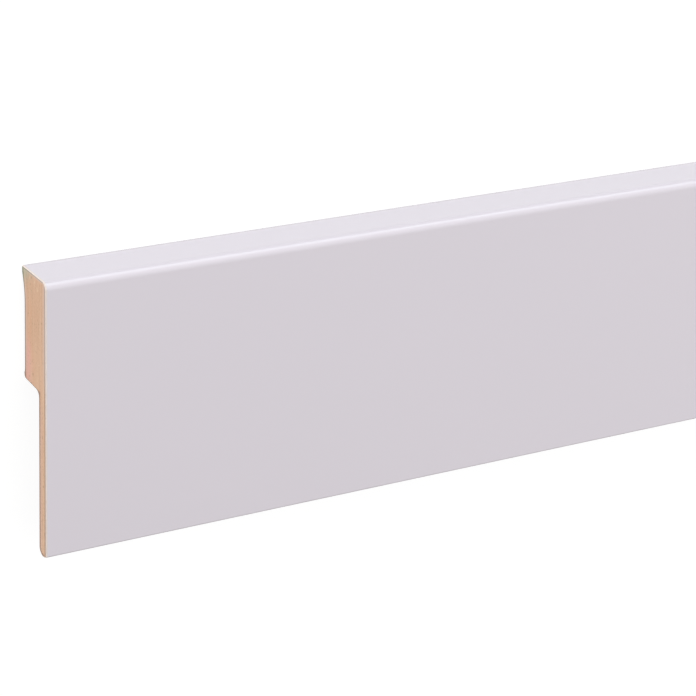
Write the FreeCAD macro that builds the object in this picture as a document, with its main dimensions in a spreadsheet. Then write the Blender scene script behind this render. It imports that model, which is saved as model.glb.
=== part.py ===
import FreeCAD, Part
import Sketcher
import math
import os

# Cover skirting board: one length of milled fibreboard, coated white on its front and top edge.
#
# Frame, in millimetres. The board lies on its back on a level floor with its front face up. X runs along
# the length, +Y points to the top edge and +Z out of the front face. The origin is under the middle of the
# board, on the plane of the top lip, which is what lies lowest.
#
# One piece is milled from one plank, so there is one body. Its section has a thick head, whose back is
# hollowed between a top lip and a heel so that it sits tight on an uneven wall, and a thin leg. The rebate
# behind the leg takes the old skirting that the board covers.

SIZES = [
    ("board_length", 2400, "stock length, between the two sawn ends"),
    ("board_height", 100, "from the bottom edge of the leg to the top edge"),
    ("board_thickness", 19, "from the front face to the top lip"),
    ("leg_thickness", 5.6, "from the front face to the back of the leg"),
    ("rebate_height", 60, "from the bottom edge to the step under the head"),
    ("rebate_cove_radius", 2.4, "inside corner between the leg and the step"),
    ("lip_land_height", 2.5, "flat of the top lip, down from the top edge"),
    ("lip_flare_height", 10, "from the lip land down to the hollow's floor"),
    ("hollow_depth", 1.9, "hollow's floor below the plane of the top lip"),
    ("heel_flare_height", 4, "from the hollow's floor down to the heel land"),
    ("heel_rise", 0.4, "heel land above the hollow's floor"),
    ("heel_land_height", 1, "flat of the heel, above its round corner"),
    ("heel_round_radius", 1, "outside corner between the heel land and the step"),
    ("top_round_radius", 3, "front arris of the top edge"),
    ("toe_round_radius", 2.5, "back arris of the bottom edge"),
    ("toe_arris_radius", 0.5, "front arris of the bottom edge"),
]
NODE = "skirting_board"
ON_EDGE = 0.001


def make_sheet(doc):
    """Puts the driving sizes into a spreadsheet, one row for each, with the size's name as its alias."""
    sheet = doc.addObject("Spreadsheet::Sheet", "Sizes")
    for row, (name, value, meaning) in enumerate(SIZES, start=1):
        sheet.set(f"A{row}", name)
        sheet.set(f"B{row}", str(value))
        sheet.set(f"C{row}", meaning)
        sheet.setAlias(f"B{row}", name)
    doc.recompute()
    return sheet


def origin_plane(body, role):
    """One of the body's own origin planes."""
    return next(plane for plane in body.Origin.OriginFeatures if plane.Role == role)


def section_corners(sheet):
    """The section's corners as (height from the middle, distance in front of the lip's plane)."""
    bottom = -sheet.board_height / 2
    top = sheet.board_height / 2
    front = sheet.board_thickness
    leg_back = front - sheet.leg_thickness
    step = bottom + sheet.rebate_height
    lip_end = top - sheet.lip_land_height
    heel_end = step + sheet.heel_round_radius + sheet.heel_land_height
    heel = sheet.hollow_depth - sheet.heel_rise
    return {
        "toe_front": (bottom, front),
        "top_front": (top, front),
        "top_back": (top, 0),
        "lip_end": (lip_end, 0),
        "hollow_top": (lip_end - sheet.lip_flare_height, sheet.hollow_depth),
        "hollow_bottom": (heel_end + sheet.heel_flare_height, sheet.hollow_depth),
        "heel_top": (heel_end, heel),
        "heel_corner": (step, heel),
        "rebate_corner": (step, leg_back),
        "toe_back": (bottom, leg_back),
    }


def flare_arc(floor_end, land_end):
    """The cutter's round runout from the hollow's floor, where it starts level, out to a land."""
    run = land_end[0] - floor_end[0]
    rise = floor_end[1] - land_end[1]
    radius = (run**2 + rise**2) / (2 * rise)
    centre = FreeCAD.Vector(floor_end[0], floor_end[1] - radius, 0)
    circle = Part.Circle(centre, FreeCAD.Vector(0, 0, 1), radius)
    angles = sorted((math.pi / 2, math.acos(run / radius)))
    return Part.ArcOfCircle(circle, *angles)


def add_size(sketch, kind, name, value, points, formula):
    """Adds one named dimension between two points and binds it to the sheet."""
    index = sketch.addConstraint(Sketcher.Constraint(kind, *points, value))
    sketch.renameConstraint(index, name)
    sketch.setExpression(f"Constraints.{name}", formula)


def draw_outline(sketch, corners):
    """Draws the section corner by corner and gives each line's number under the corner where it starts."""
    runouts = {"lip_end": "hollow_top", "heel_top": "hollow_bottom"}
    outline = list(corners)
    line = {}
    for start, end in zip(outline, outline[1:] + outline[:1]):
        if runouts.get(start) == end:
            curve = flare_arc(corners[end], corners[start])
        elif runouts.get(end) == start:
            curve = flare_arc(corners[start], corners[end])
        else:
            curve = Part.LineSegment(FreeCAD.Vector(*corners[start], 0), FreeCAD.Vector(*corners[end], 0))
        line[start] = sketch.addGeometry(curve, False)
    return line


def section_sketch(body, sheet):
    """The board's section with sharp corners, looking along X, held by constraints that read the sheet."""
    sketch = body.newObject("Sketcher::SketchObject", "Section")
    sketch.AttachmentSupport = [(origin_plane(body, "YZ_Plane"), "")]
    sketch.MapMode = "FlatFace"
    corners = section_corners(sheet)
    line = draw_outline(sketch, corners)

    begin, finish = 1, 2
    horizontal_axis, vertical_axis = -1, -2
    outline = list(corners)
    for start, end in zip(outline, outline[1:] + outline[:1]):
        joint = "Tangent" if end in ("hollow_top", "hollow_bottom") else "Coincident"
        sketch.addConstraint(Sketcher.Constraint(joint, line[start], finish, line[end], begin))
    for start in ("top_back", "hollow_top", "heel_top", "rebate_corner"):
        sketch.addConstraint(Sketcher.Constraint("Horizontal", line[start]))
    for start in ("top_front", "heel_corner", "toe_back"):
        sketch.addConstraint(Sketcher.Constraint("Vertical", line[start]))
    front = line["toe_front"]
    sketch.addConstraint(Sketcher.Constraint("Symmetric", front, begin, front, finish, vertical_axis))
    sketch.addConstraint(Sketcher.Constraint("PointOnObject", line["top_back"], begin, horizontal_axis))

    heights = [
        ("board_height", "toe_front", "top_front", "Sizes.board_height"),
        ("lip_land", "lip_end", "top_back", "Sizes.lip_land_height"),
        ("lip_flare", "hollow_top", "lip_end", "Sizes.lip_flare_height"),
        ("heel_flare", "heel_top", "hollow_bottom", "Sizes.heel_flare_height"),
        ("heel", "heel_corner", "heel_top", "Sizes.heel_land_height + Sizes.heel_round_radius"),
        ("rebate_height", "toe_back", "rebate_corner", "Sizes.rebate_height"),
    ]
    for name, low, high, formula in heights:
        points = (line[low], begin, line[high], begin)
        add_size(sketch, "DistanceX", name, corners[high][0] - corners[low][0], points, formula)
    depths = [
        ("leg_thickness", "toe_back", "toe_front", "Sizes.leg_thickness"),
        ("heel_rise", "heel_top", "hollow_bottom", "Sizes.heel_rise"),
        ("hollow_depth", "top_back", "hollow_bottom", "Sizes.hollow_depth"),
        ("board_thickness", "top_back", "top_front", "Sizes.board_thickness"),
    ]
    for name, low, high, formula in depths:
        points = (line[low], begin, line[high], begin)
        add_size(sketch, "DistanceY", name, corners[high][1] - corners[low][1], points, formula)
    return sketch


def arris_at(shape, corner):
    """Names of the long edges that run along X through one corner of the section."""
    names = []
    for number, edge in enumerate(shape.Edges, start=1):
        places = [vertex.Point for vertex in edge.Vertexes]
        if all(abs(place.y - corner[0]) < ON_EDGE and abs(place.z - corner[1]) < ON_EDGE for place in places):
            names.append(f"Edge{number}")
    return names


def round_arris(doc, body, base, label, corner, size):
    """Rounds the long arris at one corner of the section to a radius from the sheet."""
    fillet = body.newObject("PartDesign::Fillet", label)
    fillet.Base = (base, arris_at(base.Shape, corner))
    fillet.setExpression("Radius", f"Sizes.{size}")
    doc.recompute()
    return fillet


def make_board(doc, sheet):
    """The whole board: the section drawn out to its length, then its corners rounded."""
    body = doc.addObject("PartDesign::Body", "Board")
    body.Label = NODE
    sketch = section_sketch(body, sheet)
    pad = body.newObject("PartDesign::Pad", "Length")
    pad.Profile = sketch
    pad.SideType = "Symmetric"
    pad.setExpression("Length", "Sizes.board_length")
    doc.recompute()

    corners = section_corners(sheet)
    rounds = [
        ("TopRound", "top_front", "top_round_radius"),
        ("RebateCove", "rebate_corner", "rebate_cove_radius"),
        ("HeelRound", "heel_corner", "heel_round_radius"),
        ("ToeRound", "toe_back", "toe_round_radius"),
        ("ToeArris", "toe_front", "toe_arris_radius"),
    ]
    tip = pad
    for label, corner, size in rounds:
        tip = round_arris(doc, body, tip, label, corners[corner], size)
    return body


def check(doc, body):
    """Stops the build if any object failed or the board is not one valid solid."""
    for item in doc.Objects:
        if {"Invalid", "Error"} & set(item.State):
            raise RuntimeError(f"{item.Label} failed: {item.State}")
    shape = body.Shape
    if shape.isNull() or not shape.isValid() or len(shape.Solids) != 1:
        raise RuntimeError(f"{body.Label} is not one valid solid")


def report(body):
    """Prints the board's box, volume and the place of its centre of gravity."""
    shape = body.Shape
    box = shape.BoundBox
    centre = shape.CenterOfGravity
    print(f"{body.Label}: {box.XLength:.2f} x {box.YLength:.2f} x {box.ZLength:.2f} mm")
    print(f"volume {shape.Volume / 1000:.1f} cm3, centre of gravity at Y {centre.y:.2f}, Z {centre.z:.2f}")


def main():
    doc = FreeCAD.newDocument("SkirtingBoard")
    sheet = make_sheet(doc)
    board = make_board(doc, sheet)
    doc.recompute()
    check(doc, board)
    report(board)
    os.makedirs("parts", exist_ok=True)
    board.Shape.exportStep(f"parts/{board.Label}.step")


main()
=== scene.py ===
# %% [markdown]
# A length of cover skirting board, dressed for its picture.
#
# The real thing is one strip of medium-density fibreboard. A moulder mills its section in one pass, a white
# satin coat is laid over the front, the rounded top arris and the top edge, and a saw cuts it to length, so
# the ends stay bare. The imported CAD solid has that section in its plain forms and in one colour. So this
# script builds the same board again, with the section drawn a little finer, as one closed mesh whose faces
# know what they are: coated, milled, sawn, or the thin cut line of the coat. Each gets a finish of its own.
#
# The board lies on its back. X runs along its length, +Y points to its top edge and +Z out of its front.

import math

import bmesh
import bpy
from mathutils import Matrix, Vector


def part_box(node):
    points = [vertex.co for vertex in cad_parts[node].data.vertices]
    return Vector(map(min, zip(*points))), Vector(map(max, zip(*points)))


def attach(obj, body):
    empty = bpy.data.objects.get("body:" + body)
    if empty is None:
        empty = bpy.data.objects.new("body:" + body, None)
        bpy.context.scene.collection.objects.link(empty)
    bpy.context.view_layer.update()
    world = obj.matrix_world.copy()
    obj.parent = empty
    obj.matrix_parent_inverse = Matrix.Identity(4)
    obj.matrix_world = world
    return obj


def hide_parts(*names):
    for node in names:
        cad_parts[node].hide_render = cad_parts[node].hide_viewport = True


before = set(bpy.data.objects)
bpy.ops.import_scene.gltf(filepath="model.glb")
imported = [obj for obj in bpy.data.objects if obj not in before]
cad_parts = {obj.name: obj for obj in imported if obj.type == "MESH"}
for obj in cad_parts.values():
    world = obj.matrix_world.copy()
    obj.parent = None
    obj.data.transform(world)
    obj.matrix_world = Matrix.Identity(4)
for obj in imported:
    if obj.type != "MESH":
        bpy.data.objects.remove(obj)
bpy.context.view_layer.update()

MM = 0.001
low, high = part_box("skirting_board")
print("the CAD board measures, in mm:", [round(side / MM, 2) for side in high - low])

# %% [markdown]
# The section in millimetres. A drawing of a moulding gives each flat, each round and each runout of a
# cutter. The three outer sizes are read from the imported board, so a board of another length or height would
# still come out whole. The leg and the hollow's depth are the CAD solid's own. The rest are the solid's
# forms drawn finer, all within its box and within a millimetre of it: the step rises a little from the leg
# out to the heel, the heel is rounder, and the foot has a small bevel under its front arris.

# %% Sizes of the section
HALF_LENGTH = (high.x - low.x) / 2 / MM
TOP = high.y / MM
BOTTOM = low.y / MM
FRONT = high.z / MM

LEG_THICKNESS = 5.6
LEG_BACK = FRONT - LEG_THICKNESS
REBATE_HEIGHT = 59.6
STEP = BOTTOM + REBATE_HEIGHT
STEP_RISE = 0.8
COVE_RADIUS = 2.2
LIP_LAND = 2.2
LIP_FLARE = 10.5
HOLLOW_DEPTH = 1.9
HEEL_FLARE = 2
HEEL_RISE = 0.45
HEEL_LAND = 0.5
HEEL_ROUND = 1.5
TOP_ROUND = 2.8
TOE_ROUND = 3
TOE_ARRIS = 0.5
TOE_BEVEL_WIDTH = 2
TOE_BEVEL_RISE = 0.75
BACK_ARRIS = 0.4
print("leg back at", round(LEG_BACK, 2), "mm, step at", round(STEP, 2), "mm")

# %% [markdown]
# The outline is walked the way a pencil would go round the section. The mesh starts as one vertex at the
# top back arris. A straight run extrudes that vertex, and a round spins it about the round's centre, so
# there is no list of points to work out by hand. A drawing gives a rounded corner as the sharp corner and
# a radius, so one helper takes those: it works out where the round starts from how far the outline turns.
#
# A straight run of some length gets two guard vertices close to its ends. Smooth shading blends the
# directions of two faces over their shared edge, and the guards keep that blend next to the round, where
# otherwise it would spread over the whole flat front as a false shade.
#
# Each vertex also keeps how far round the outline it lies. The map of the finished mesh reads that later.

# %% Walk the outline
GUARD = 0.15
UNTURNED = Matrix.Identity(4)
SAWN_ARRIS = 0.29
start_x = -(HALF_LENGTH - SAWN_ARRIS)

board = bmesh.new()
way_round = board.verts.layers.float.new("way_round")


def start_at(height, depth):
    """Puts the first vertex of the outline down."""
    made = bmesh.ops.create_vert(board, co=Vector((start_x, height, depth)) * MM)
    return made["vert"][0]


def step_to(tip, place):
    """Extrudes the outline's tip to a place and returns the new tip."""
    made = bmesh.ops.extrude_vert_indiv(board, verts=[tip])
    after = made["verts"][0]
    bmesh.ops.translate(board, verts=[after], vec=place - tip.co)
    after[way_round] = tip[way_round] + (place - tip.co).length
    return after


def straight_to(tip, height, depth):
    """Draws a straight run, with a guard vertex near each end where it is long enough."""
    goal = Vector((start_x, height, depth)) * MM
    start = tip.co.copy()
    run = goal - start
    guard = GUARD * MM
    if run.length > 4 * guard:
        tip = step_to(tip, start + run.normalized() * guard)
        tip = step_to(tip, goal - run.normalized() * guard)
    return step_to(tip, goal)


def round_about(tip, height, depth, angle, steps):
    """Spins the tip about a centre. A positive angle turns from +Y to +Z, as the section's outside does."""
    centre = Vector((start_x, height, depth)) * MM
    reached = tip[way_round]
    arc = abs(angle) * (tip.co - centre).length
    made = bmesh.ops.spin(
        board, geom=[tip], cent=centre, axis=(1, 0, 0), angle=angle, steps=steps,
        space=UNTURNED, use_merge=False, use_duplicate=False,
    )
    last = made["geom_last"][0]
    count = len(board.verts)
    board.verts.ensure_lookup_table()
    for number in range(1, steps + 1):
        board.verts[count - steps + number - 1][way_round] = reached + arc * number / steps
    return last


def round_corner(tip, corner, after, radius, steps):
    """Runs towards a sharp corner and rounds it off on the way to the place after it."""
    corner = Vector((start_x, *corner)) * MM
    ahead = (corner - tip.co).normalized()
    onward = (Vector((start_x, *after)) * MM - corner).normalized()
    angle = math.atan2(ahead.y * onward.z - ahead.z * onward.y, ahead.dot(onward))
    start = corner - ahead * radius * MM * math.tan(abs(angle) / 2)
    inwards = Vector((0, -ahead.z, ahead.y)) * math.copysign(radius * MM, angle)
    centre = (start + inwards) / MM
    tip = straight_to(tip, start.y / MM, start.z / MM)
    return round_about(tip, centre.y, centre.z, angle, steps)


print("helpers for the outline are ready")

# %% [markdown]
# First the coated stretch: up the top edge, round the arris that catches the light, down the flat
# front, round the small arris at the foot, and over the bevel under it, where the coat ends.

# %% Outline of the coated side
tip = start_at(TOP, BACK_ARRIS)
first = tip
bevel_start = (BOTTOM + TOE_BEVEL_RISE, FRONT)
bevel_end = (BOTTOM, FRONT - TOE_BEVEL_WIDTH)
tip = round_corner(tip, (TOP, FRONT), bevel_start, TOP_ROUND, steps=16)
tip = round_corner(tip, bevel_start, bevel_end, TOE_ARRIS, steps=6)
tip = straight_to(tip, *bevel_end)
coat_length = tip[way_round]
print("the coat is", round(coat_length / MM, 1), "mm wide round the section")

# %% [markdown]
# Then the milled stretch: the leg's rounded foot, its back, the cove that the cutter leaves in the corner
# of the rebate, the step, which rises a little on its way out, the rounded heel, and the hollow, whose ends
# run out in the sweep of a large cutter. That sweep is an arc that starts level with the hollow's floor, so
# its radius follows from how far it runs and how far it rises.

# %% Outline of the milled side
def sweep(run, rise):
    """Radius and angle of an arc that starts level and has risen by so much after so long a run."""
    radius = (run**2 + rise**2) / (2 * rise)
    return radius, math.asin(run / radius)


heel_plane = HOLLOW_DEPTH - HEEL_RISE
heel_corner = (STEP + STEP_RISE, heel_plane)
heel_end = STEP + STEP_RISE + HEEL_ROUND + HEEL_LAND
leg_corner = (STEP, LEG_BACK)
tip = round_corner(tip, (BOTTOM, LEG_BACK), leg_corner, TOE_ROUND, steps=10)
tip = round_corner(tip, leg_corner, heel_corner, COVE_RADIUS, steps=8)
tip = round_corner(tip, heel_corner, (heel_end, heel_plane), HEEL_ROUND, steps=8)
tip = straight_to(tip, heel_end, heel_plane)

radius, angle = sweep(HEEL_FLARE, HEEL_RISE)
tip = round_about(tip, heel_end + HEEL_FLARE, HOLLOW_DEPTH - radius, -angle, steps=4)
lip_end = TOP - LIP_LAND
tip = straight_to(tip, lip_end - LIP_FLARE, HOLLOW_DEPTH)
radius, angle = sweep(LIP_FLARE, HOLLOW_DEPTH)
tip = round_about(tip, lip_end - LIP_FLARE, HOLLOW_DEPTH - radius, -angle, steps=8)
tip = round_corner(tip, (TOP, 0), (TOP, FRONT), BACK_ARRIS, steps=4)
outline_length = tip[way_round]
gap = (tip.co - first.co).length
print("outline", round(outline_length / MM, 1), "mm long, closed to within", round(gap / MM, 6), "mm")

# %% [markdown]
# The outline becomes a board as stock comes off a moulder: its two last points are welded, the loop is
# filled, and the filled section is drawn out along X. The long faces are then cut across at even spacing,
# so that no face is a needle two metres long.

# %% Draw the section out to its length
CROSS_CUTS = 23

bmesh.ops.weld_verts(board, targetmap={tip: first})
section = bmesh.ops.contextual_create(board, geom=board.edges[:])["faces"]
drawn = bmesh.ops.extrude_face_region(board, geom=section, use_keep_orig=True)
moved = [item for item in drawn["geom"] if isinstance(item, bmesh.types.BMVert)]
bmesh.ops.translate(board, verts=moved, vec=(-2 * start_x * MM, 0, 0))
bmesh.ops.recalc_face_normals(board, faces=board.faces[:])
long_edges = [edge for edge in board.edges if abs(edge.verts[0].co.x - edge.verts[1].co.x) > MM]
bmesh.ops.subdivide_edges(board, edges=long_edges, cuts=CROSS_CUTS, use_grid_fill=True)
print(len(board.faces), "faces after drawing out and cross cuts")

# %% [markdown]
# A saw leaves a knife-sharp arris, and one stroke of sandpaper takes it off. Insetting each end face and
# pushing it outwards by the same amount makes that small flat all round the cut, and brings the board to
# its full length. On the coated side this is where the coat shows in section, as a thin pale line.

# %% Ease the arrises of the two saw cuts
FULLY_ALONG = 0.95

for side in (-1, 1):
    ends = [face for face in board.faces if face.normal.x * side > FULLY_ALONG]
    bmesh.ops.inset_region(
        board, faces=ends, thickness=SAWN_ARRIS * MM, depth=SAWN_ARRIS * MM,
        use_boundary=True, use_even_offset=True,
    )
board.normal_update()
reach = [vertex.co.x / MM for vertex in board.verts]
print("the board now runs from", round(min(reach), 3), "to", round(max(reach), 3), "mm")

# %% [markdown]
# Every face learns its finish from the way it looks. A face that looks along X was sawn. One that looks
# halfway along X is part of the eased arris: pale coat where it borders the front, fibreboard elsewhere.
# Of the long faces, those that look out of the front or straight up at the top edge are coated, and the
# rest are milled.

# %% Sort the faces by their finish
COATED, MILLED, SAWN, COAT_EDGE = range(4)
FINISH_NAMES = ["white_coat", "milled_fibreboard", "sawn_fibreboard", "coat_edge"]
HALF_ALONG = 0.3
OUT_OF_FRONT = 0.03
UP_AT_TOP = 0.45


def finish_of(normal):
    """The finish of a face that looks along this normal."""
    along = abs(normal.x)
    if along > FULLY_ALONG:
        return SAWN
    if normal.z > OUT_OF_FRONT or normal.y > UP_AT_TOP:
        return COAT_EDGE if along > HALF_ALONG else COATED
    return SAWN if along > HALF_ALONG else MILLED


for face in board.faces:
    face.material_index = finish_of(face.normal)
    face.smooth = True
counts = [sum(face.material_index == number for face in board.faces) for number in range(4)]
print("faces by finish:", dict(zip(FINISH_NAMES, counts)))

# %% [markdown]
# The map. The board is 2.4 m long and its sawn end only 19 mm thick, so one even map would leave the end a
# few pixels. This map is laid out for what people look at: the long faces are unrolled as one sheet in the
# lower part, and each end gets a wide strip of its own above it, turned so that its long side fits.

# %% Lay the map out
SHEET_TOP = 0.6
STRIP_SCALE = 0.0097
STRIP_STARTS = {-1: 0.612, 1: 0.808}
MARGIN = 0.006

layer = board.loops.layers.uv.new("OFBake")
half_round = outline_length / 2
for face in board.faces:
    rounds = [loop.vert[way_round] for loop in face.loops]
    over_seam = max(rounds) - min(rounds) > half_round
    for loop, reached in zip(face.loops, rounds):
        place = loop.vert.co / MM
        if abs(face.normal.x) > HALF_ALONG:
            side = 1 if face.normal.x > 0 else -1
            across = MARGIN + (place.y - BOTTOM) * STRIP_SCALE
            upward = STRIP_STARTS[side] + place.z * STRIP_SCALE
        else:
            if over_seam and reached < half_round:
                reached += outline_length
            across = MARGIN + (place.x / HALF_LENGTH + 1) / 2 * (1 - 2 * MARGIN)
            upward = MARGIN + reached / outline_length * (SHEET_TOP - 2 * MARGIN)
        loop[layer].uv = (across, upward)
print("map laid out for", len(board.faces), "faces")

# %% [markdown]
# The mesh goes to an object that stays at the origin. Edges sharper than 30 degrees, which are those of the
# saw cuts, are marked so that shading breaks there. The board rides on the model's only body, and it
# stands for the CAD solid, which stays hidden for collisions.

# %% Make the board's object
SHARP = math.radians(30)

open_edges = [edge for edge in board.edges if len(edge.link_faces) != 2]
volume = board.calc_volume(signed=True)
mesh = bpy.data.meshes.new("coated_board")
board.to_mesh(mesh)
board.free()
mesh.set_sharp_from_angle(angle=SHARP)
coated_board = bpy.data.objects.new("coated_board", mesh)
bpy.context.scene.collection.objects.link(coated_board)
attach(coated_board, "root")
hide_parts("skirting_board")
print(len(open_edges), "open edges, volume", round(volume * 1e6, 1), "cm3")

# %% [markdown]
# Shader maths. A material here is a sum of patterns, and sums are easier to read as Python than as boxes
# and wires. Wire holds one socket, and its operators add the Math nodes. Finish starts a material and has
# one method, node, for every other kind of node: it takes the node's type, its settings, and then the
# values or wires of its inputs.

# %% A wire and a finish
class Wire:
    """One output socket of a finish, which can be used in sums."""

    def __init__(self, finish, socket):
        self.finish = finish
        self.socket = socket

    def __add__(self, other):
        return self.finish.maths("ADD", self, other)

    def __sub__(self, other):
        return self.finish.maths("SUBTRACT", self, other)

    def __mul__(self, other):
        return self.finish.maths("MULTIPLY", self, other)

    def __radd__(self, other):
        return self.finish.maths("ADD", other, self)

    def __rsub__(self, other):
        return self.finish.maths("SUBTRACT", other, self)

    def __rmul__(self, other):
        return self.finish.maths("MULTIPLY", other, self)


class Finish:
    """A material on a Principled shader, and the nodes that feed it."""

    def __init__(self, name, **constants):
        self.material = bpy.data.materials.new(name)
        self.material.use_nodes = True
        self.tree = self.material.node_tree
        self.shader = self.tree.nodes["Principled BSDF"]
        for key, value in constants.items():
            self.shader.inputs[key.replace("_", " ")].default_value = value

    def node(self, kind, settings=None, inputs=None, out=0):
        """Adds a node, applies its settings, then its values and wires, and returns one output."""
        made = self.tree.nodes.new(kind)
        for key, value in (settings or {}).items():
            setattr(made, key, value)
        for key, value in (inputs or {}).items():
            if isinstance(value, Wire):
                self.tree.links.new(value.socket, made.inputs[key])
            else:
                made.inputs[key].default_value = value
        return Wire(self, made.outputs[out])

    def maths(self, operation, *values):
        """One Math node on wires and numbers."""
        return self.node("ShaderNodeMath", {"operation": operation}, dict(enumerate(values)))

    def feed(self, name, wire):
        """Links a wire to an input of the shader."""
        self.tree.links.new(wire.socket, self.shader.inputs[name])


print("shader helpers are ready")

# %% [markdown]
# A few patterns that all four finishes use. Places are in millimetres, because that is how a maker thinks
# of grain and flecks. A noise can be stretched along a direction by giving a smaller number of waves per
# millimetre there. A ramp turns a number into a mask between 0 and 1.

# %% Patterns by the millimetre
def places(finish):
    """The point's place on the board in millimetres, as a vector wire and three number wires."""
    raw = finish.node("ShaderNodeTexCoord", out="Object")
    scaled = finish.node("ShaderNodeVectorMath", {"operation": "SCALE"}, {"Vector": raw, "Scale": 1 / MM})
    x = finish.node("ShaderNodeSeparateXYZ", inputs={0: scaled}, out=0)
    parts = x.socket.node
    return scaled, x, Wire(finish, parts.outputs[1]), Wire(finish, parts.outputs[2])


def noise(finish, place, waves, detail=2, roughness=0.5):
    """Noise between 0 and 1, with so many waves to the millimetre along X, Y and Z."""
    stretched = finish.node("ShaderNodeVectorMath", {"operation": "MULTIPLY"}, {0: place, 1: waves})
    return finish.node(
        "ShaderNodeTexNoise",
        inputs={"Vector": stretched, "Scale": 1, "Detail": detail, "Roughness": roughness},
    )


def ramp(finish, value, low, high, start=0.0, end=1.0):
    """Goes smoothly from start to end while value goes from low to high."""
    return finish.node(
        "ShaderNodeMapRange",
        {"interpolation_type": "SMOOTHSTEP", "clamp": True},
        {"Value": value, "From Min": low, "From Max": high, "To Min": start, "To Max": end},
    )


def blend(finish, mask, under, over):
    """Mixes two colours, which are tuples or wires."""
    colours = [item if isinstance(item, Wire) else (*item, 1) for item in (under, over)]
    return finish.node(
        "ShaderNodeMix", {"data_type": "RGBA"}, {"Factor": mask, 6: colours[0], 7: colours[1]}, out=2
    )


def raise_surface(finish, height, distance):
    """Feeds a height between 0 and 1 to the surface as relief of so many millimetres."""
    bump = finish.node("ShaderNodeBump", inputs={"Height": height, "Distance": distance * MM, "Strength": 1})
    finish.feed("Normal", bump)


print("patterns are ready")

# %% [markdown]
# The white coat. On the real board it is a factory-sprayed satin finish, or a foil that looks the same: a
# white with a trace of violet, even, with a soft sheen. What shows that it is real is very little: a faint
# cloudiness, a gloss that varies by a few hundredths, and orange peel a few thousandths of a millimetre
# deep. Next to a saw cut the coat is worn thin, and the cream of the primer comes through. Along its own
# two long borders, at the back of the top edge and over the foot, the last millimetre or so is painted a
# little greyer. That grey is painted shade along those two arrises.

# %% White satin coat
WHITE = (0.732, 0.668, 0.726)
WHITE_CLOUD = (0.723, 0.661, 0.717)
# Painted shade: a grey white, and where it starts and is full, in mm, along the two long arrises of the coat.
EDGE_SHADE_WHITE = (0.625, 0.57, 0.61)
PRIMER = (0.79, 0.685, 0.615)
BACK_SHADE_START = 1.6
BACK_SHADE_FULL = 0.6
FOOT_SHADE_START = 1.4
FOOT_SHADE_FULL = 0.8
WORN_BORDER = 0.8
WORN_THROUGH = 0.25
SATIN = 0.17
SATIN_DRIFT = 0.03
PEEL_DEPTH = 0.003

white_coat = Finish("white_coat", Specular_IOR_Level=1.0)
place, x, y, z = places(white_coat)
clouds = noise(white_coat, place, (0.012, 0.03, 0.03))
colour = blend(white_coat, clouds, WHITE, WHITE_CLOUD)
# Painted shade: the last millimetre at the back of the top edge and over the foot is mixed towards a grey
# white.
foot_shade = ramp(white_coat, y, BOTTOM + FOOT_SHADE_START, BOTTOM + FOOT_SHADE_FULL)
painted_edge_shade = white_coat.maths("MAXIMUM", ramp(white_coat, z, BACK_SHADE_START, BACK_SHADE_FULL), foot_shade)
colour = blend(white_coat, painted_edge_shade, colour, EDGE_SHADE_WHITE)
to_cut = HALF_LENGTH - SAWN_ARRIS - white_coat.maths("ABSOLUTE", x)
patchy = noise(white_coat, place, (1.2, 0.8, 0.8))
worn = ramp(white_coat, to_cut + patchy * 0.4, WORN_BORDER, WORN_THROUGH)
white_coat.feed("Base Color", blend(white_coat, worn * 0.8, colour, PRIMER))
white_coat.feed("Roughness", SATIN + SATIN_DRIFT * noise(white_coat, place, (0.02, 0.05, 0.05)))
peel = noise(white_coat, place, (0.35, 0.45, 0.45), detail=1)
raise_surface(white_coat, peel, PEEL_DEPTH)
print("white coat has", len(white_coat.tree.nodes), "nodes")

# %% [markdown]
# The cut line of the coat. Where the arris of a saw cut borders the coat, primer and coat show in section.
# It is a line a third of a millimetre wide, cream, and chipped here and there down to the board. On the
# thin leg, which shakes under the saw, more of it has gone.

# %% Cut line of the coat
CREAM = (0.87, 0.75, 0.69)
CHIPPED = (0.75, 0.58, 0.46)
LEG_SHARE = 0.2
CHIP_DEPTH = 0.03

coat_edge = Finish("coat_edge", Roughness=0.6)
place, x, y, z = places(coat_edge)
chips = noise(coat_edge, place, (1.5, 0.7, 0.7), detail=3)
on_leg = ramp(coat_edge, y, STEP + 12, STEP - 15)
chipped = ramp(coat_edge, chips, 0.52, 0.72) * 0.5 + on_leg * LEG_SHARE
coat_edge.feed("Base Color", blend(coat_edge, chipped, CREAM, CHIPPED))
raise_surface(coat_edge, chips, CHIP_DEPTH)
print("coat edge has", len(coat_edge.tree.nodes), "nodes")

# %% [markdown]
# How deep a point of the sawn end lies inside the section. Fibreboard is pressed harder near its faces, and
# the rim of the cut is painted darker besides, as painted shade along the arris, so the end has a fine brown
# line all round. The shader needs the distance to the outline for that. The section is two boxes that
# overlap,
# the head and the leg: inside a box the distance is the least of the distances to its sides, and inside
# either of two boxes it is the greater of the two. The pressed skin lies under the plank's faces, so the line
# is wider there than under the top edge and over the step, which were cut. Distances up and down count more
# for that.

# %% Depth inside the section
CUT_SIDE = 2.0


def least(finish, nearest, *others):
    """The least of several wires."""
    for other in others:
        nearest = finish.maths("MINIMUM", nearest, other)
    return nearest


def inside_round(finish, from_one, from_other, radius):
    """Millimetres inside a rounded corner, from those inside the two sides that meet there."""
    short_of_one = finish.maths("MAXIMUM", radius - from_one, 0)
    short_of_other = finish.maths("MAXIMUM", radius - from_other, 0)
    squares = short_of_one * short_of_one + short_of_other * short_of_other
    return radius - finish.maths("SQRT", squares)


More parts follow.
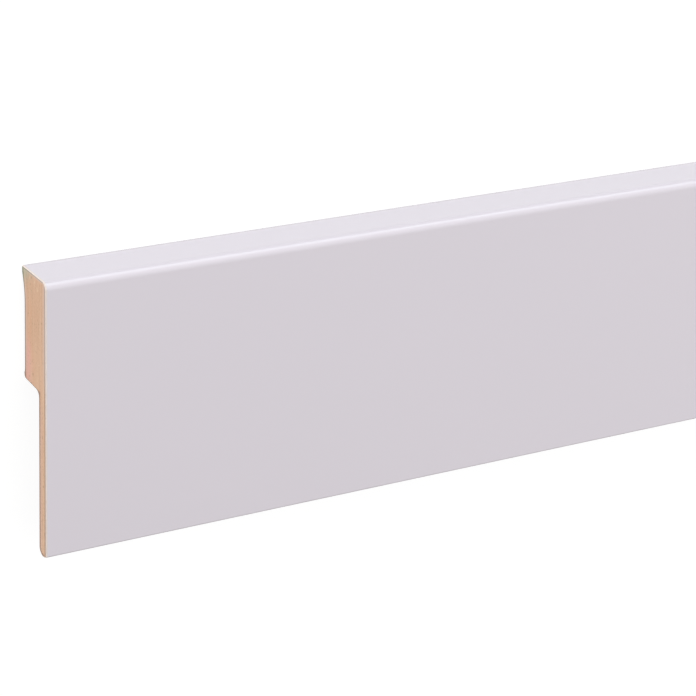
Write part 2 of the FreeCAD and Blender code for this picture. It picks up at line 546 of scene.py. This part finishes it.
def depth_in_section(finish, y, z):
    """Millimetres from the outline, inwards, with those along the height counted CUT_SIDE times."""
    lip = ramp(finish, y, lip_end - LIP_FLARE, lip_end + LIP_FLARE / 2, 0, HOLLOW_DEPTH * 1.2)
    step_here = STEP + STEP_RISE / (LEG_BACK - heel_plane) * (LEG_BACK - z)
    head = least(finish, CUT_SIDE * (y - step_here), z - HOLLOW_DEPTH + lip)
    toe = inside_round(finish, y - BOTTOM, z - LEG_BACK, TOE_ROUND)
    leg = least(finish, CUT_SIDE * (y - BOTTOM), z - LEG_BACK, toe)
    either = finish.maths("MAXIMUM", head, leg)
    return least(finish, either, CUT_SIDE * (TOP - y), FRONT - z)


print("depth in the section is ready")

# %% [markdown]
# The sawn ends. Medium-density fibreboard is wood ground to fibres and pressed, so a cut has no rings or
# pores. It shows a close felt of fine fibres, pressed into layers that run parallel to the faces, light
# and dark flecks below a millimetre, and a tone that drifts from a yellowish to a pinkish tan. The ground
# tone comes first. The two numbers at the end of each ramp are places on the section in millimetres, and a
# slow noise shifts most of them, so that no tone ends in a straight line.

# %% Sawn fibreboard
TAN = (0.75, 0.48, 0.325)
LIGHT_TAN = (0.80, 0.52, 0.355)
PINK_TAN = (0.88, 0.485, 0.42)
WARM_TAN = (0.80, 0.465, 0.30)
OLIVE_TAN = (0.545, 0.54, 0.41)
SKIN_TAN = (0.78, 0.57, 0.47)
ROSE_TAN = (0.765, 0.52, 0.425)
# Painted shade, partly the denser skin: colours of the dark line round the rim of the cut.
DENSE_RIM_AND_SHADE = (0.385, 0.26, 0.205)
DENSE_RIM_AND_SHADE_GREY = (0.42, 0.36, 0.335)
DENSE_RIM_AND_SHADE_OLIVE = (0.27, 0.28, 0.20)
PALE_FIBRE = (0.88, 0.67, 0.49)
DARK_FIBRE = (0.44, 0.27, 0.17)

sawn = Finish("sawn_fibreboard", Roughness=0.85, Specular_IOR_Level=0.1)
place, x, y, z = places(sawn)
drift = noise(sawn, place, (0.1, 0.05, 0.15)) - 0.5
warm = ramp(sawn, z + 8 * drift, 11, 6) * ramp(sawn, y, 44, 34)
pink = ramp(sawn, z + 8 * drift, 9, 5) * ramp(sawn, y + 12 * drift, 30, 20)
olive = ramp(sawn, y - 0.8 * z + 6 * drift, 39, 48)
rose = ramp(sawn, z - 2 * drift, 17, 14.5) * ramp(sawn, y, 8, 0)
colour = blend(sawn, ramp(sawn, y + 20 * drift, 36, 14), TAN, LIGHT_TAN)
colour = blend(sawn, warm * 0.5, colour, WARM_TAN)
colour = blend(sawn, pink * 0.8, colour, PINK_TAN)
colour = blend(sawn, olive * 0.9, colour, OLIVE_TAN)
colour = blend(sawn, rose * 0.8, colour, ROSE_TAN)
print("ground tone of the sawn end is mixed")

# %% [markdown]
# The fibres come over that ground. Three noises, from coarse layers to fine felt and single flecks, each mix
# in a pale and a dark fibre. The pressed skin under the faces of the head is a little paler than the core.
# The line along the rim, partly denser skin and partly painted shade along the arris, is brown at the leg,
# greyer at the head, and olive in the corner of the top lip, where the whole cut has that tone.

# %% Fibres, flecks and rim of the sawn ends
layers = noise(sawn, place, (0.8, 0.05, 0.9), detail=3, roughness=0.6)
felt = noise(sawn, place, (2.5, 1.1, 2.4), detail=3, roughness=0.7)
flecks = noise(sawn, place, (0.9, 0.45, 0.85))
colour = blend(sawn, ramp(sawn, layers, 0.48, 0.72) * 0.4, colour, PALE_FIBRE)
colour = blend(sawn, ramp(sawn, layers, 0.46, 0.28) * 0.25, colour, DARK_FIBRE)
colour = blend(sawn, ramp(sawn, felt, 0.5, 0.8) * 0.5, colour, PALE_FIBRE)
colour = blend(sawn, ramp(sawn, felt, 0.5, 0.25) * 0.4, colour, DARK_FIBRE)
colour = blend(sawn, ramp(sawn, flecks, 0.645, 0.70) * 0.6, colour, DARK_FIBRE)
colour = blend(sawn, ramp(sawn, flecks, 0.34, 0.28) * 0.6, colour, PALE_FIBRE)
depth = depth_in_section(sawn, y, z)
# Painted shade, partly the denser skin: a dark line round the rim of the cut, weaker towards the front.
weaker_in_front = ramp(sawn, z, FRONT - 3, FRONT - 1, 0.9, 0.6)
dense_rim_and_shade = ramp(sawn, depth + 0.4 * (felt - 0.5), 1.4, 0.9) * weaker_in_front
skin = ramp(sawn, depth, 3.0, 1.6) * ramp(sawn, y, 8, 20) * (1 - olive)
colour = blend(sawn, skin * 0.65, colour, SKIN_TAN)
dense_rim_and_shade_colour = blend(sawn, ramp(sawn, y, 5, 30), DENSE_RIM_AND_SHADE, DENSE_RIM_AND_SHADE_GREY)
dense_rim_and_shade_colour = blend(sawn, olive, dense_rim_and_shade_colour, DENSE_RIM_AND_SHADE_OLIVE)
sawn.feed("Base Color", blend(sawn, dense_rim_and_shade, colour, dense_rim_and_shade_colour))
print("fibres and flecks are mixed")

# %% [markdown]
# Saw marks. A circular saw leaves shallow arcs whose centre is the blade's, far outside the board. They
# are faint on fibreboard and show only in raking light, so they are relief and not colour.

# %% Saw marks
BLADE_HEIGHT = -90
BLADE_DEPTH = -160
CUT_RELIEF = 0.05

from_blade_y = y - BLADE_HEIGHT
from_blade_z = z - BLADE_DEPTH
blade_radius = sawn.maths("SQRT", from_blade_y * from_blade_y + from_blade_z * from_blade_z)
arcs = sawn.node("ShaderNodeCombineXYZ", inputs={0: blade_radius, 1: 0.0, 2: 0.0})
marks = noise(sawn, arcs, (0.9, 1, 1), detail=1)
raise_surface(sawn, 0.6 * felt + 0.4 * marks, CUT_RELIEF)
print("sawn finish has", len(sawn.tree.nodes), "nodes")

# %% [markdown]
# The milled back. It went through the moulder bare: the same fibreboard, smoother than a cut, with long
# faint lines where nicks in the knives ran along it. Noise that has hardly any waves along the board makes
# those lines, and a close one makes the felt of the fibres.

# %% Milled fibreboard
MILLED_TAN = (0.62, 0.44, 0.30)
MILLED_LIGHT = (0.70, 0.52, 0.37)
MILLED_DARK = (0.50, 0.34, 0.23)

milled = Finish("milled_fibreboard", Specular_IOR_Level=0.2)
place, x, y, z = places(milled)
drift = noise(milled, place, (0.004, 0.02, 0.05))
lines = noise(milled, place, (0.003, 0.55, 0.55), detail=4, roughness=0.6)
felt = noise(milled, place, (0.9, 1.3, 1.3), detail=3, roughness=0.7)
colour = blend(milled, ramp(milled, drift, 0.3, 0.7), MILLED_TAN, MILLED_LIGHT)
colour = blend(milled, ramp(milled, lines, 0.5, 0.3) * 0.4, colour, MILLED_DARK)
colour = blend(milled, ramp(milled, felt, 0.5, 0.8) * 0.4, colour, MILLED_LIGHT)
colour = blend(milled, ramp(milled, felt, 0.45, 0.25) * 0.35, colour, MILLED_DARK)
print("tones of the milled back are mixed")

# %% [markdown]
# Where the spray of the coat went round an arris, a little white mist lies on the first millimetre of the
# back. The knives leave a fine ripple across the board, one wave for each knife that passed, so it is a
# sine along X.

# %% Spray mist, ripple and sheen of the milled back
MIST_WIDTH = 1.4
KNIFE_PITCH = 1.6
MATT = 0.62
MATT_DRIFT = 0.2
MILLED_RELIEF = 0.03

toe_mist = ramp(milled, z, FRONT - TOE_BEVEL_WIDTH - 0.8, FRONT - TOE_BEVEL_WIDTH + 0.2)
mist = milled.maths("MAXIMUM", ramp(milled, y, TOP - MIST_WIDTH, TOP), toe_mist)
mist = mist * ramp(milled, felt, 0.2, 0.7)
milled.feed("Base Color", blend(milled, mist * 0.6, colour, WHITE))
milled.feed("Roughness", MATT + MATT_DRIFT * felt)
ripple = milled.maths("SINE", x * (2 * math.pi / KNIFE_PITCH)) * 0.5 + 0.5
raise_surface(milled, 0.2 * ripple + 0.5 * lines + 0.3 * felt, MILLED_RELIEF)
print("milled finish has", len(milled.tree.nodes), "nodes")

# %% [markdown]
# Each face already carries the number of its finish, so the finishes go on the mesh in the order of those
# numbers.

# %% Put the finishes on the board
for finish in (white_coat, milled, sawn, coat_edge):
    mesh.materials.append(finish.material)
print("slots:", [material.name for material in mesh.materials])

# %% [markdown]
# The floor is a plain pale sheet under the board. The photograph shows the board on pure white, so most of
# what the camera sees of the floor is a white of its own, and the rest is the lit sheet, which keeps the
# board's soft shadow. Rays that come by way of gloss or glass see that white too, so the satin coat mirrors
# the surroundings that the picture shows.

# %% Floor
FLOOR_HALF = 40
FLOOR_PALE = (0.7, 0.7, 0.7)
OWN_WHITE = 0.8
GLOW = 1.16


def goes_to_eye(finish):
    """1 for rays that reach the eye straight, from a gloss or through glass, and 0 for all others."""
    straight = finish.node("ShaderNodeLightPath", out="Is Camera Ray")
    rays = straight.socket.node
    by_gloss = Wire(finish, rays.outputs["Is Glossy Ray"])
    through_glass = Wire(finish, rays.outputs["Is Transmission Ray"])
    either = finish.maths("MAXIMUM", by_gloss, through_glass)
    return finish.maths("MAXIMUM", straight, either)


floor_mesh = bpy.data.meshes.new("floor")
sheet = bmesh.new()
bmesh.ops.create_grid(sheet, x_segments=1, y_segments=1, size=FLOOR_HALF)
sheet.to_mesh(floor_mesh)
sheet.free()
floor = bpy.data.objects.new("floor", floor_mesh)
bpy.context.scene.collection.objects.link(floor)

floor_finish = Finish("floor_pale", Base_Color=(*FLOOR_PALE, 1), Roughness=0.9, Specular_IOR_Level=0.1)
to_eye = goes_to_eye(floor_finish)
glow = floor_finish.node("ShaderNodeEmission", inputs={"Color": (1, 1, 1, 1), "Strength": GLOW})
lit = Wire(floor_finish, floor_finish.shader.outputs[0])
seen = floor_finish.node("ShaderNodeMixShader", inputs={0: to_eye * OWN_WHITE, 1: lit, 2: glow})
output = floor_finish.tree.nodes["Material Output"]
floor_finish.tree.links.new(seen.socket, output.inputs["Surface"])
floor_mesh.materials.append(floor_finish.material)
print("floor is", 2 * FLOOR_HALF, "m square")

# %% [markdown]
# The room is white to the eye, as the floor is, and gives a weaker, even fill to everything else. The same
# Light Path mask tells the two apart.

# %% Room light
ROOM_FILL = 0.25


class Room(Finish):
    """The world around the board, whose nodes are built the way a finish's are."""

    def __init__(self, name):
        self.world = bpy.data.worlds.new(name)
        self.world.use_nodes = True
        self.tree = self.world.node_tree
        self.shader = self.tree.nodes["Background"]
        self.shader.inputs["Color"].default_value = (1, 1, 1, 1)


room = Room("studio")
limits = {"Value": goes_to_eye(room), "To Min": ROOM_FILL, "To Max": 1}
room.feed("Strength", room.node("ShaderNodeMapRange", inputs=limits))
bpy.context.scene.world = room.world
print("room fill", ROOM_FILL)

# %% [markdown]
# The lamps. A softbox 5 m long and 0.7 m tall stands low off the top edge, because on the photographed board
# that edge is the brightest face. The round arris beside it mirrors a lamp there too, and the bright line on
# it is as wide as that lamp is tall. Seen low from in front, though, the whole front would mirror the long
# lamp and drown in white. So gloss mirrors only a short one just before it, where the picture looks, and
# that one lights nothing else. A weaker one above makes the line fade out towards the front, one hangs over
# the board for the front itself, and a small one faces each sawn end. No gloss mirrors those two either:
# seen along the board, they would blot out half of the front.

# %% Softboxes
COOL_WHITE = (0.865, 0.955, 0.985)
BOARD_MIDDLE = (0.0, 0.0, 0.0)


def softbox(name, place, aim, width, height, watts, colour=(1, 1, 1)):
    """A rectangular lamp at a place in metres, turned towards a point."""
    lamp = bpy.data.lights.new(name, "AREA")
    lamp.color = colour
    lamp.shape = "RECTANGLE"
    lamp.size = width
    lamp.size_y = height
    lamp.energy = watts
    made = bpy.data.objects.new(name, lamp)
    made.location = place
    made.rotation_euler = (Vector(aim) - Vector(place)).to_track_quat("-Z", "Y").to_euler()
    made.visible_camera = False
    bpy.context.scene.collection.objects.link(made)
    return made


top_edge_softbox = softbox(
    "top_edge_softbox", (0.0, 1.52, 0.49), BOARD_MIDDLE,
    width=5.0, height=0.7, watts=22.4, colour=COOL_WHITE,
)
arris_softbox = softbox(
    "arris_softbox", (-0.2, 1.48, 0.477), (-0.2, 0.0, 0.0),
    width=1.1, height=0.682, watts=4.8, colour=COOL_WHITE,
)
top_edge_softbox.visible_glossy = False
arris_softbox.visible_diffuse = False

softbox("shoulder_softbox", (0.0, 1.02, 1.225), BOARD_MIDDLE, width=5.0, height=1.15, watts=14.2)
softbox("overhead_softbox", (0.5, -0.25, 1.45), (0.5, -0.25, 0.0), width=4.0, height=1.6, watts=13.4)

for name, side in (("left_softbox", -1), ("right_softbox", 1)):
    lamp_place = (2.3 * side, 0.3, 0.16)
    sawn_end = (1.2 * side, 0.0, 0.0)
    end_softbox = softbox(name, lamp_place, sawn_end, width=0.5, height=0.3, watts=5.2)
    end_softbox.visible_glossy = False
print("six softboxes are set")

# %% [markdown]
# The camera. The photograph was measured: where the long edges would meet and how the sawn end leans give
# the lens and the place of the camera. It stood off the left end, a little above the board, with a long
# lens. The board was upright then and lies on its back now, so the camera looks down on it and is rolled
# until the top edge is at the top of the picture again.

# %% Camera
LENS = 130.8
CAMERA_PLACE = Vector((-1512.2, 346.1, 720.2)) * MM
RIGHTWARD = Vector((0.86218, 0.04375, 0.50471))
UPWARD = Vector((0.15765, 0.92363, -0.34936))

camera_data = bpy.data.cameras.new("camera")
camera_data.lens = LENS
camera_data.sensor_width = 36
camera_data.clip_start = 0.05
camera_data.clip_end = 200
camera = bpy.data.objects.new("camera", camera_data)
backward = RIGHTWARD.cross(UPWARD).normalized()
upward = backward.cross(RIGHTWARD).normalized()
axes = Matrix((RIGHTWARD.normalized(), upward, backward)).transposed()
camera.rotation_euler = axes.to_euler()
camera.location = CAMERA_PLACE
bpy.context.scene.collection.objects.link(camera)
bpy.context.scene.camera = camera
bpy.context.scene.view_settings.view_transform = "Standard"
print("camera looks along", [round(part, 3) for part in -backward])
